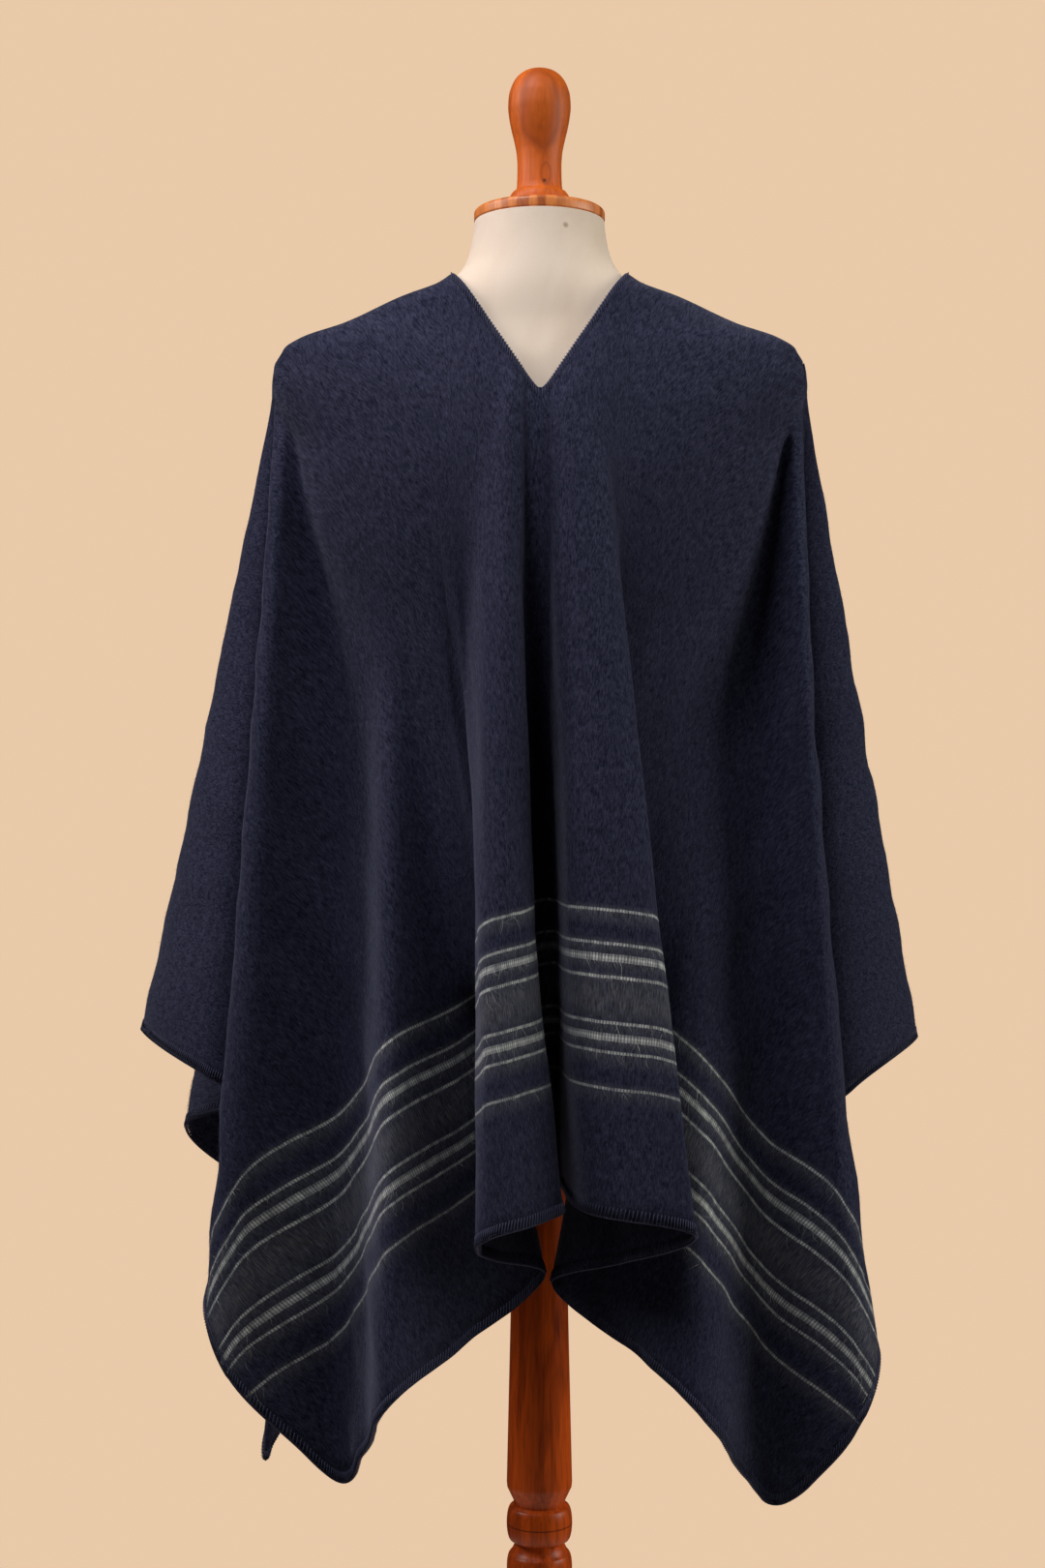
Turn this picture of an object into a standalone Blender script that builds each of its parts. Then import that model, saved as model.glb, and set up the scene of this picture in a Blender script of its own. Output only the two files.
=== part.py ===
# Andean poncho on a limbless dress form with a turned post and a round base.
# Metres, +Z up, front faces -Y, +X is the wearer's left. The base stands on z = 0.
import bpy
import bmesh
import math
import numpy as np

for old in list(bpy.data.objects):
    bpy.data.objects.remove(old, do_unlink=True)

# sizes
halfWidth = 0.776        # cloth, from its middle to a side edge
drop = 0.752             # cloth, from the shoulder fold to the front or back hem
wall = 0.0020            # cloth thickness
clear = 0.0015           # between the cloth's inner face and the form, where it rests
restHeight = 1.405       # below this the cloth hangs free of the form
restFade = 0.100         # height over which it comes free
standOff = 0.012         # how far it clears the form there
softness = 0.016         # over which it leaves the form's face
softStart = 0.05         # share of a fold's length over which that softness grows
armRound = 0.94          # it bridges from the chest past the form's sides
sideSlope = 1.5          # how fast it may go forward or back beside them
seamGap = 0.0003         # between pieces that meet
neckHalf = 0.055         # half the neck opening, along the shoulder fold
neckFront = 0.124        # depth of the V below the fold, in the cloth
neckRound = 0.08         # how blunt the V is at its bottom
neckBack = 0.050         # the same behind
shoulderRun = 0.1565     # cloth from the neck point to the shoulder end
neckPoint = 0.0715       # x of the neck point
shoulderEnd = 0.2150     # x of the shoulder end
ridgeEnd = 1.400         # z of the form's shoulder end
neckTop = 1.466          # z of the neck point
vBottom = 1.3585         # z of the V's bottom
backNeck = 1.450         # z of the neck edge behind
shoulderFall = 1.2       # slope of the cloth past the shoulder's end
neckSide = 1.500         # height on the neck from which the shoulder's ridge is read
takeUp = 0.020           # length that the round of the shoulder uses up, straight forward
takeUpFrom = 0.6         # place on the start line from which it does
slip = 0.030             # how far the fold has slipped forward in the cloth at the left
cornerRound = 0.030      # the front corners are rounded over this much of each edge
backRound = 0.012        # and the back corners over this
roundSteps = 9
flatEdge = halfWidth + drop
loop = 4 * flatEdge      # the whole edge of the cloth
clothColumns = 80        # before the shoulders' columns are matched, in front and behind
clothRows = 14
rowCrowd = 1.9           # the rows stand closer together at the neck
turnWeight = 0.045       # how much a turning edge draws the columns together, and how
evenWeight = 0.2         # much they keep an even step in the cloth
shoulderStep = 0.052     # least step between columns on the shoulder, in starts
neckColumn = 0.92        # start of the column beside each neck point
seamSlack = 0.02         # no other column this close to a neck point, in starts
endSlack = 0.015         # nor this close to a shoulder end
weldDistance = 0.00002
formSides = 42
formBands = [            # heights of the form's rings: from, to, how many
    (0.862, 0.876, 4), (0.900, 1.330, 10), (1.352, 1.480, 15), (1.492, 1.5137, 3)]
turnedSides, finialSides, capSides, baseSides = 36, 40, 56, 64
capRadius = 0.0540
capTop = 1.5238
capEdge = 0.0025         # rounding of the cap's rim
neckTopHeight = 1.5137
finialTop = 1.6400
finialWaist = (0.0182, 1.5604)   # radius and height of the grip's narrowest place
finialRows = [           # share of the way from the top down to the waist, radius
    (0.000, 0.0055), (0.012, 0.0100), (0.045, 0.0152), (0.100, 0.0197), (0.180, 0.0232),
    (0.280, 0.0254), (0.390, 0.0259), (0.500, 0.0250), (0.620, 0.0232), (0.750, 0.0207),
    (0.880, 0.0188), (1.000, 0.0182)]
finialCollar = [         # radius, height above the cap
    (0.0186, 0.0200), (0.0192, 0.0165), (0.0196, 0.0155), (0.0222, 0.0142), (0.0242, 0.0115),
    (0.0250, 0.0080), (0.0250, 0)]
baseTop = 0.0340
postShaft = [            # radius, height
    (0.0192, 0.8617), (0.0240, 0.604), (0.0270, 0.474), (0.0266, 0.4700), (0.0213, 0.4590),
    (0.0213, 0.4560)]
postNecks = [            # the grooves and the second shaft between the rings
    [(0.0206, 0.4255), (0.0206, 0.4225), (0.0222, 0.4190)],
    [(0.0210, 0.3900), (0.0210, 0.3860), (0.0262, 0.3790), (0.0268, 0.3700), (0.0240, 0.2400),
     (0.0222, 0.1480), (0.0222, 0.1440)],
    [(0.0225, 0.1160), (0.0225, 0.1120), (0.0250, 0.1000), (0.0330, 0.0700), (0.0400, 0.0403)]]
postBeads = [            # radius, depth of its round, top, bottom
    (0.0271, 0.0036, 0.4545, 0.4265), (0.0270, 0.0030, 0.4160, 0.3920), (0.0280, 0.0040, 0.1420, 0.1180)]
postFoot = 0.0400
baseRows = [             # radius, height
    (0.0560, 0.0340), (0.0600, 0.0325), (0.0640, 0.0260), (0.1760, 0.0240), (0.1880, 0.0225),
    (0.1960, 0.0180), (0.2000, 0.0120), (0.2000, 0.0020), (0.1985, 0)]
bellWide, bellDeep = 0.32, 0.15   # half width and depth of the smooth bell that it opens from

# form sections: height, half width, depth in front, depth behind, roundness
formRows = [
    ("bottom", 0.862, 0.112, 0.050, 0.048, 2.1),
    ("bottom rim", 0.876, 0.131, 0.067, 0.065, 2.2),
    ("hip", 0.920, 0.138, 0.074, 0.073, 2.2),
    ("waist", 1.040, 0.122, 0.076, 0.070, 2.2),
    ("rib", 1.150, 0.138, 0.088, 0.078, 2.2),
    ("chest", 1.250, 0.162, 0.099, 0.087, 2.2),
    ("arm plate low", 1.310, 0.174, 0.098, 0.087, 2.2),
    ("arm plate", 1.345, 0.190, 0.095, 0.085, 2.2),
    ("shoulder cap", 1.374, 0.202, 0.088, 0.080, 2.2),
    ("shoulder end", 1.400, 0.2050, 0.080, 0.073, 2.2),
    ("shoulder", 1.4100, 0.193, 0.075, 0.068, 2.1),
    ("mid shoulder", 1.4225, 0.158, 0.072, 0.066, 2.0),
    ("shoulder near neck", 1.443, 0.114, 0.070, 0.064, 2.0),
    ("neck root", 1.456, 0.080, 0.067, 0.062, 2.0),
    ("neck base", 1.468, 0.066, 0.064, 0.060, 2.0),
    ("neck", 1.490, 0.0565, 0.058, 0.056, 2.0),
    ("neck top", 1.5137, 0.0535, 0.0545, 0.0535, 2.0),
]

# folds: edge, cloth place on it, start on the neck and shoulder line (0 mid neck, 1 neck
# point, 2 shoulder end, minus on the left), where the edge hangs in plan, how late the fold
# goes sideways and forward (1 is straight), and the share of its length over which it opens
foldRows = [
    # name, edge, place, start, x, y, bend x, bend y, opens
    ("left tip", "left", 0.000, -2.00, -0.331, 0.050, 1.04, 1.1, 0.13),
    ("left side", "left", 0.190, -2.00, -0.268, -0.062, 1.10, 1.4, 0.16),
    ("left hollow", "left", 0.370, -2.00, -0.166, -0.022, 1.10, 1.3, 0.30),
    ("left ridge", "left", 0.545, -2.00, -0.256, -0.130, 1.10, 0.9, 0.16),
    ("left ridge turn", "left", 0.640, -1.94, -0.236, -0.142, 1.10, 0.8, 0.13),
    ("front left corner", "front", -0.776, -1.75, -0.159, -0.098, 0.60, 1.1, 0.16),
    ("left hollow flank", "front", -0.700, -1.58, -0.137, -0.124, 0.60, 1.4, 0.18),
    ("left crest", "front", -0.605, -1.36, -0.116, -0.190, 1.10, 1.0, 0.20),
    ("left inner hollow", "front", -0.490, -1.16, -0.054, -0.116, 0.80, 1.1, 0.22),
    ("left inner tip", "front", -0.385, -1.00, 0.004, -0.054, 2.40, 1.1, 0.24),
    ("left middle turn", "front", -0.290, -0.84, -0.040, -0.130, 1.60, 0.9, 0.22),
    ("left middle ridge", "front", -0.200, -0.55, -0.043, -0.214, 1.00, 0.75, 0.20),
    ("left middle inner", "front", -0.118, -0.30, 0.006, -0.186, 2.30, 0.5, 0.04),
    ("left middle edge", "front", -0.098, -0.23, 0.015, -0.172, 2.70, 0.5, 0.03),
    ("left tuck", "front", -0.045, -0.16, -0.002, -0.098, 2.20, 1.1, 0.03),
    ("middle hollow", "front", 0.000, 0.02, 0.016, -0.078, 1.30, 1.2, 0.03),
    ("right middle inner", "front", 0.080, 0.18, 0.030, -0.165, 1.60, 0.6, 0.05),
    ("right middle ridge", "front", 0.200, 0.55, 0.112, -0.214, 1.05, 0.75, 0.20),
    ("right middle turn", "front", 0.300, 0.84, 0.060, -0.130, 1.60, 0.9, 0.22),
    ("right inner tip", "front", 0.400, 1.00, 0.010, -0.057, 2.40, 1.1, 0.24),
    ("right inner hollow", "front", 0.485, 1.20, 0.060, -0.120, 1.50, 1.1, 0.22),
    ("right crest", "front", 0.600, 1.50, 0.116, -0.180, 0.60, 1.5, 0.20),
    ("front right corner", "front", 0.776, 1.75, 0.188, -0.100, 1.10, 1.3, 0.16),
    ("right ridge turn", "right", 0.670, 1.92, 0.238, -0.138, 1.70, 0.7, 0.13),
    ("right ridge", "right", 0.585, 2.00, 0.260, -0.124, 2.20, 0.8, 0.14),
    ("right hollow", "right", 0.390, 2.00, 0.166, -0.022, 1.30, 1.3, 0.30),
    ("right side", "right", 0.200, 2.00, 0.254, -0.040, 1.10, 1.4, 0.16),
    ("right tip", "right", 0.000, 2.00, 0.314, 0.030, 1.00, 1.1, 0.13),
    ("right back hollow", "right", -0.200, 2.00, 0.196, 0.070, 1.20, 1.2, 0.24),
    ("right back ridge", "right", -0.400, 1.98, 0.248, 0.165, 1.10, 1.1, 0.14),
    ("right back turn", "right", -0.600, 1.86, 0.150, 0.142, 1.10, 1.1, 0.15),
    ("back right corner", "back", 0.776, 1.68, 0.196, 0.216, 1.10, 1.1, 0.16),
    ("back right crest", "back", 0.600, 1.40, 0.130, 0.160, 1.10, 1.0, 0.20),
    ("back right tip", "back", 0.440, 0.97, 0.056, 0.110, 2.20, 1.1, 0.24),
    ("back right ridge", "back", 0.280, 0.68, 0.128, 0.190, 1.10, 0.8, 0.20),
    ("back right inner", "back", 0.180, 0.44, 0.070, 0.214, 1.10, 0.8, 0.20),
    ("back middle hollow", "back", 0.020, 0.05, 0.006, 0.090, 1.20, 1.1, 0.20),
    ("back left inner", "back", -0.140, -0.36, -0.066, 0.210, 1.10, 0.8, 0.20),
    ("back left ridge", "back", -0.250, -0.64, -0.120, 0.196, 1.10, 0.8, 0.20),
    ("back left tip", "back", -0.410, -0.95, -0.048, 0.110, 2.20, 1.1, 0.24),
    ("back left crest", "back", -0.580, -1.40, -0.140, 0.190, 1.10, 1.0, 0.20),
    ("back left corner", "back", -0.776, -1.52, -0.2385, 0.102, 1.10, 1.1, 0.16),
    ("left back turn", "left", -0.560, -1.86, -0.200, 0.190, 1.10, 1.1, 0.15),
    ("left back ridge", "left", -0.345, -1.98, -0.312, 0.134, 1.20, 1.1, 0.14),
    ("left back hollow", "left", -0.180, -2.00, -0.190, 0.046, 1.20, 1.2, 0.24),
]


def steady(knots, values, at):
    """a smooth curve through rows, which never turns back between two of them"""
    h = np.diff(knots)
    slope = np.diff(values) / h
    same = slope[:-1] * slope[1:] > 0
    first = np.where(same, slope[:-1], 1)
    second = np.where(same, slope[1:], 1)
    mean = 3 * (h[:-1] + h[1:]) / ((2 * h[1:] + h[:-1]) / first + (h[1:] + 2 * h[:-1]) / second)
    tangent = np.concatenate([[slope[0]], np.where(same, mean, 0), [slope[-1]]])
    i = np.clip(np.searchsorted(knots, at, side="right") - 1, 0, len(knots) - 2)
    s = (at - knots[i]) / h[i]
    return ((2 * s ** 3 - 3 * s ** 2 + 1) * values[i] + (s ** 3 - 2 * s ** 2 + s) * h[i] * tangent[i]
            + (3 * s ** 2 - 2 * s ** 3) * values[i + 1] + (s ** 3 - s ** 2) * h[i] * tangent[i + 1])


def formHalf(z, grow=0.0):
    """half width, depth in front and behind, and roundness of the form, grown by a margin"""
    columns = [np.array(c) for c in list(zip(*formRows))[1:]]
    inside = np.clip(z - grow, columns[0][0], columns[0][-1])
    wide, ahead, behind, power = [steady(columns[0], c, inside) for c in columns[1:]]
    return wide + grow, ahead + grow, behind + grow, power


def formFace(x, z, front, grow=0.0):
    """y of the form's face at x and z, 0 where it has none"""
    wide, ahead, behind, power = formHalf(z, grow)
    left = np.clip(1 - np.abs(x / wide) ** power, 0, 1)
    inside = (z - grow <= formRows[-1][1]) & (z >= formRows[0][1] - 2 * grow) & (left > 0)
    part = left ** (1 / power)
    return np.where(inside, -ahead * part if front else behind * part, 0)


def shoulderTop(x, grow=0.0):
    """height of the form's ridge at a distance x from its middle, carried on past its end"""
    heights = np.linspace(ridgeEnd, neckSide, 200)[::-1]
    reach = formHalf(heights + grow, grow)[0]
    past = np.maximum(np.abs(x) - reach[-1], 0)
    return np.interp(np.abs(x), reach, heights) + grow - shoulderFall * past


def edgePlace(edge, place):
    """distance round the cloth from the left side's middle, by way of the front"""
    return {"left": place if place >= 0 else loop + place,
            "front": drop + halfWidth + place,
            "right": 2 * flatEdge - place,
            "back": 2 * flatEdge + drop + halfWidth - place}[edge]


def edgeCloth(g):
    """cloth coordinates (u across, v down from the fold, minus behind) at a place g"""
    knots = [0, drop, drop + 2 * halfWidth, 2 * flatEdge,
             2 * flatEdge + drop, 2 * flatEdge + drop + 2 * halfWidth, loop]
    across = [-halfWidth, -halfWidth, halfWidth, halfWidth, halfWidth, -halfWidth, -halfWidth]
    down = [0, drop, drop, 0, -drop, -drop, 0]
    rounding = np.where(np.mod(g, loop) < 2 * flatEdge, cornerRound, backRound)
    near = [np.mod(g + rounding * step, loop) for step in np.linspace(-1, 1, roundSteps)]
    u = np.mean([np.interp(place, knots, across) for place in near], axis=0)
    v = np.mean([np.interp(place, knots, down) for place in near], axis=0)
    return u, v


def smoothLoop(knots, values, at, period):
    """a closed smooth curve through the rows"""
    k = np.concatenate([knots[-2:] - period, knots, knots[:2] + period])
    v = np.concatenate([values[-2:], values, values[:2]])
    h = np.diff(k)
    slope = np.diff(v) / h
    tangent = np.zeros(len(k))
    tangent[1:-1] = (slope[:-1] * h[1:] + slope[1:] * h[:-1]) / (h[1:] + h[:-1])
    i = np.clip(np.searchsorted(k, at, side="right") - 1, 1, len(k) - 3)
    s = (at - k[i]) / h[i]
    return ((2 * s ** 3 - 3 * s ** 2 + 1) * v[i] + (s ** 3 - 2 * s ** 2 + s) * h[i] * tangent[i]
            + (3 * s ** 2 - 2 * s ** 3) * v[i + 1] + (s ** 3 - s ** 2) * h[i] * tangent[i + 1])


def startLine(s, front):
    """where a fold leaves the neck or shoulder line: cloth u and v, and x, y, z"""
    side, a = np.sign(s), np.abs(s)
    neck = np.clip(a, 0, 1)
    run = np.clip(a - 1, 0, 1)
    off = wall / 2 + clear
    turn = neck * math.pi / 2
    if front:
        rise = (np.hypot(neck, neckRound) - neckRound) / (math.hypot(1, neckRound) - neckRound)
        u, v = neckHalf * neck, neckFront * (1 - rise)
        x, z = neckPoint * neck ** 1.04, vBottom + (neckTop - vBottom) * rise
    else:
        u, v = neckHalf * np.sin(turn), -neckBack * np.cos(turn)
        x, z = neckPoint * np.sin(turn), backNeck + (neckTop - backNeck) * neck
    y = formFace(x, z, front, off)
    onNeck = a <= 1
    alongShoulder = neckPoint + (shoulderEnd - neckPoint) * run
    x = np.where(onNeck, x, alongShoulder)
    y = np.where(onNeck, y, 0)
    top = shoulderTop(x, off)
    z = np.where(onNeck, np.minimum(z, top), top)
    u = np.where(onNeck, u, neckHalf + shoulderRun * run)
    v = np.where(onNeck, v, np.where(s < 0, slip * run, 0))
    return side * u, v, side * x, y, z


def foldColumn(k):
    """one column of the folds, in their order round the edge: 0 place, 1 start, 2 x, 3 y,
    4 bend x, 5 bend y, 6 opens"""
    return np.array(sorted((edgePlace(r[1], r[2]),) + r[3:] for r in foldRows))[:, k]


def foldStartAt(g, front):
    """where on the neck and shoulder line the fold at a place g starts"""
    knots = np.append(foldColumn(0), loop)
    starts = np.append(foldColumn(1), foldColumn(1)[0])
    near = knots <= loop / 2 + 1e-9 if front else knots >= loop / 2 - 1e-9
    return steady(knots[near], starts[near], g)


def clothPoint(g, t, front):
    """the middle of the wall at place g and fraction t from the neck line to the edge,
    and its cloth coordinates"""
    places = foldColumn(0)
    x1, y1, bendX, bendY, opens = [smoothLoop(places, foldColumn(k), g, loop) for k in range(2, 7)]
    s = foldStartAt(g, front)
    u0, v0, x0, y0, z0 = startLine(s, front)
    u1, v1 = edgeCloth(g)
    length = np.hypot(u1 - u0, v1 - v0)
    forward = np.abs(v1 - v0) / length * np.clip(np.abs(s) - takeUpFrom, 0, 1)
    length = length - takeUp * forward
    z1 = z0 - np.sqrt(length ** 2 - (x1 - x0) ** 2 - (y1 - y0) ** 2)
    turn = math.pi * (1 + 2 * g / loop)
    smoothX, smoothY = bellWide * np.cos(turn), bellDeep * np.sin(turn)
    fold = np.clip(t / opens, 0, 1)
    fold = fold * fold * (3 - 2 * fold)
    x = x0 + (smoothX + (x1 - smoothX) * fold - x0) * t ** bendX
    y = y0 + (smoothY + (y1 - smoothY) * fold - y0) * t ** bendY
    z = z0 + (z1 - z0) * t
    below = np.clip((restHeight - z) / restFade, 0, 1)
    grow = wall / 2 + clear + standOff * below
    outward = -1 if front else 1
    beside = np.maximum(np.abs(x) * armRound - formHalf(z, grow)[0], 0)
    face = formFace(x * armRound, z, front, grow) - outward * sideSlope * beside
    soft = softness * np.clip(1 - beside / softness, 0, 1) * np.clip((z - formRows[0][1]) / softness, 0, 1)
    past = (y - face) * outward
    lift = np.sqrt(past ** 2 + soft ** 2 * np.minimum(t / softStart, 1))
    y = np.where(t > 0, face + outward * (past + lift) / 2, y)
    return np.stack([x, y, z], -1), np.stack([u0 + (u1 - u0) * t, v0 + (v1 - v0) * t], -1)


partCollection = bpy.data.collections.new("Andean poncho on a dress form")
bpy.context.scene.collection.children.link(partCollection)


def material(name, colour, roughness, metallic=0.0):
    made = bpy.data.materials.new(name)
    made.use_nodes = True
    shader = made.node_tree.nodes["Principled BSDF"]
    shader.inputs["Base Color"].default_value = (*colour, 1)
    shader.inputs["Roughness"].default_value = roughness
    shader.inputs["Metallic"].default_value = metallic
    return made


def addObject(name, mesh, look, smooth=True):
    made = bpy.data.objects.new(name, mesh)
    made.data.materials.append(look)
    partCollection.objects.link(made)
    if smooth:
        mesh.shade_smooth()
    return made


def columnPlaces(count, front):
    """places round the edge, closer together where it turns"""
    g = np.linspace(0, loop / 2, 4000) + (0 if front else loop / 2)
    x, y = [smoothLoop(foldColumn(0), foldColumn(k), g, loop) for k in (2, 3)]
    step = np.diff(x) + 1j * np.diff(y)
    turning = np.abs(np.diff(np.unwrap(np.angle(step))))
    weight = np.abs(step)[1:] + turnWeight * turning + evenWeight * np.diff(g)[1:]
    run = np.concatenate([[0, 0], np.cumsum(weight)])
    return np.interp(np.linspace(0, run[-1], count), run, g)


def matchColumns(count):
    """columns in front and behind that share their starts along the shoulders"""
    places, starts = {}, {}
    for front in (True, False):
        places[front] = columnPlaces(count, front)
        starts[front] = foldStartAt(places[front], front)
    both = np.concatenate([starts[True], starts[False]])
    onShoulder = np.sort(both[(np.abs(both) > 1 + seamSlack) & (np.abs(both) < 2 - endSlack)])
    kept = []
    for start in onShoulder:
        if not kept or start - kept[-1] > shoulderStep:
            kept.append(start)
    shared = np.array([-2, -1, -neckColumn, neckColumn, 1, 2] + kept)
    for front in (True, False):
        distance = np.abs(starts[front])
        own = places[front][(distance < 1 - seamSlack) | (distance > 1.9999)]
        g = np.linspace(0, loop / 2, 20000) + (0 if front else loop / 2)
        s = foldStartAt(g, front)
        order = np.argsort(s, kind="stable")
        at = np.interp(shared, s[order], g[order])
        outer = np.abs(shared) == 2
        at[outer] = [np.abs(g[np.abs(s - e) < 1e-9]).max() if (e < 0) == front
                     else np.abs(g[np.abs(s - e) < 1e-9]).min() for e in shared[outer]]
        places[front] = np.unique(np.round(np.concatenate([own, at]), 6))
    return places


def buildCloth():
    fractions = (np.arange(clothRows + 1) / clothRows) ** rowCrowd
    places = matchColumns(clothColumns)
    points = []
    for front in (True, False):
        ends = places[front] if front else places[front][1:-1]
        for g in ends:
            line, _ = clothPoint(np.full(len(fractions), g), fractions, front)
            points.append(line)
    grid = np.array(points)
    count, deep = grid.shape[:2]
    faces = []
    for i in range(count):
        beside = (i + 1) % count
        for j in range(deep - 1):
            a, b = i * deep + j, beside * deep + j
            faces.append((a, a + 1, b + 1, b))
    mesh = bpy.data.meshes.new("poncho")
    mesh.from_pydata(grid.reshape(-1, 3).tolist(), [], faces)
    work = bmesh.new()
    work.from_mesh(mesh)
    bmesh.ops.remove_doubles(work, verts=work.verts, dist=weldDistance)
    bmesh.ops.recalc_face_normals(work, faces=work.faces)
    work.to_mesh(mesh)
    work.free()
    cloth = addObject("poncho", mesh, material("navy wool", (0.030, 0.034, 0.062), 0.95))
    solid = cloth.modifiers.new("wall", "SOLIDIFY")
    solid.thickness = wall
    solid.offset = 0
    return cloth


def buildForm():
    """the covered torso and neck: a loft through the form's sections"""
    heights = np.concatenate([np.linspace(low, high, count) for low, high, count in formBands])
    turn = np.linspace(0, 2 * math.pi, formSides, endpoint=False)
    points = []
    for z in heights:
        wide, ahead, behind, power = [float(c) for c in formHalf(z)]
        c, s = np.cos(turn), np.sin(turn)
        x = wide * np.sign(c) * np.abs(c) ** (2 / power)
        y = np.where(s < 0, ahead, behind) * np.sign(s) * np.abs(s) ** (2 / power)
        points.append(np.stack([x, y, np.full(formSides, z)], -1))
    grid = np.array(points)
    faces = []
    for i in range(len(heights) - 1):
        for j in range(formSides):
            k = (j + 1) % formSides
            low, high = i * formSides, (i + 1) * formSides
            faces.append((low + j, low + k, high + k, high + j))
    faces.append(tuple(range(formSides))[::-1])
    top = (len(heights) - 1) * formSides
    faces.append(tuple(range(top, top + formSides)))
    mesh = bpy.data.meshes.new("form")
    mesh.from_pydata(grid.reshape(-1, 3).tolist(), [], faces)
    form = addObject("form_torso", mesh, material("cream cover", (0.72, 0.66, 0.58), 0.9))
    mesh.set_sharp_from_angle(angle=math.radians(50))
    return form


def turned(name, profile, look, sides):
    """a turned piece from its profile, radius and height from top to bottom"""
    mesh = bpy.data.meshes.new(name)
    mesh.from_pydata([(r, 0, z) for r, z in profile], [(i, i + 1) for i in range(len(profile) - 1)], [])
    made = addObject(name, mesh, look)
    screw = made.modifiers.new("turn", "SCREW")
    screw.steps = sides
    screw.render_steps = sides
    screw.use_merge_vertices = True
    screw.merge_threshold = 0.00005
    screw.use_smooth_shade = True
    return made


def bead(radius, depth, zTop, zBottom, count=6):
    """a rounded ring from zTop down to zBottom, depth deeper at its ends than its middle"""
    fall = zBottom - zTop
    turn = np.linspace(0, math.pi, count)
    return [(radius - depth * (1 - math.sin(a)), zTop + fall * (1 - math.cos(a)) / 2) for a in turn]


def buildCap():
    top, bottom = capTop, neckTopHeight + seamGap
    profile = [(0, top), (capRadius - 2 * capEdge, top), (capRadius - 0.4 * capEdge, top - 0.5 * capEdge),
               (capRadius, top - 1.6 * capEdge), (capRadius, bottom + capEdge),
               (capRadius - 0.6 * capEdge, bottom), (0, bottom)]
    return turned("neck_cap", profile, material("cap wood", (0.46, 0.16, 0.06), 0.35), capSides)


def buildFinial():
    base = capTop + seamGap
    crown = finialTop - finialWaist[1]
    profile = [(0, finialTop)]
    profile += [(radius, finialTop - crown * share) for share, radius in finialRows]
    profile += [(radius, base + height) for radius, height in finialCollar]
    profile.append((0, base))
    return turned("finial", profile, material("finial wood", (0.44, 0.13, 0.035), 0.3), finialSides)


def buildPost():
    """the turned post, from the form's underside down to the base"""
    top, bottom = formRows[0][1] - seamGap, baseTop + seamGap
    profile = [(0, top)] + postShaft
    for ring, neck in zip(postBeads, postNecks):
        profile += bead(*ring) + neck
    profile += [(postFoot, bottom), (0, bottom)]
    return turned("post", profile, material("post wood", (0.24, 0.055, 0.014), 0.3), turnedSides)


def buildBase():
    profile = [(0, baseTop)] + baseRows + [(0, 0)]
    return turned("base", profile, material("base wood", (0.22, 0.05, 0.014), 0.35), baseSides)


buildCloth()
buildForm()
buildCap()
buildFinial()
buildPost()
buildBase()
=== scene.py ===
import math
import bpy
import numpy as np
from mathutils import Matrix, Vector


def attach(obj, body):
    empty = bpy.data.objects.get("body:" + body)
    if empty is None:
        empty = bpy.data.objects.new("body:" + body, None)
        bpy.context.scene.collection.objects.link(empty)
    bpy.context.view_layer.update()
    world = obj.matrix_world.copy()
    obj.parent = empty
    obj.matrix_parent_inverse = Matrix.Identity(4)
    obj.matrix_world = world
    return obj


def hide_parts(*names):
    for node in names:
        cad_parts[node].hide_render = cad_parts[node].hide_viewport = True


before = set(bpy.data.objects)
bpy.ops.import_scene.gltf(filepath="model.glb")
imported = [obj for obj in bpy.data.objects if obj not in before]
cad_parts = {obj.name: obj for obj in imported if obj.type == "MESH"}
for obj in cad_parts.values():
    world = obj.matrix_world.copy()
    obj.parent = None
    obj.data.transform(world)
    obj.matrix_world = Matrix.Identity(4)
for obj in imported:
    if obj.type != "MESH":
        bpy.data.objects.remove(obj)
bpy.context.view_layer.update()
print("frame loaded")

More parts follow.
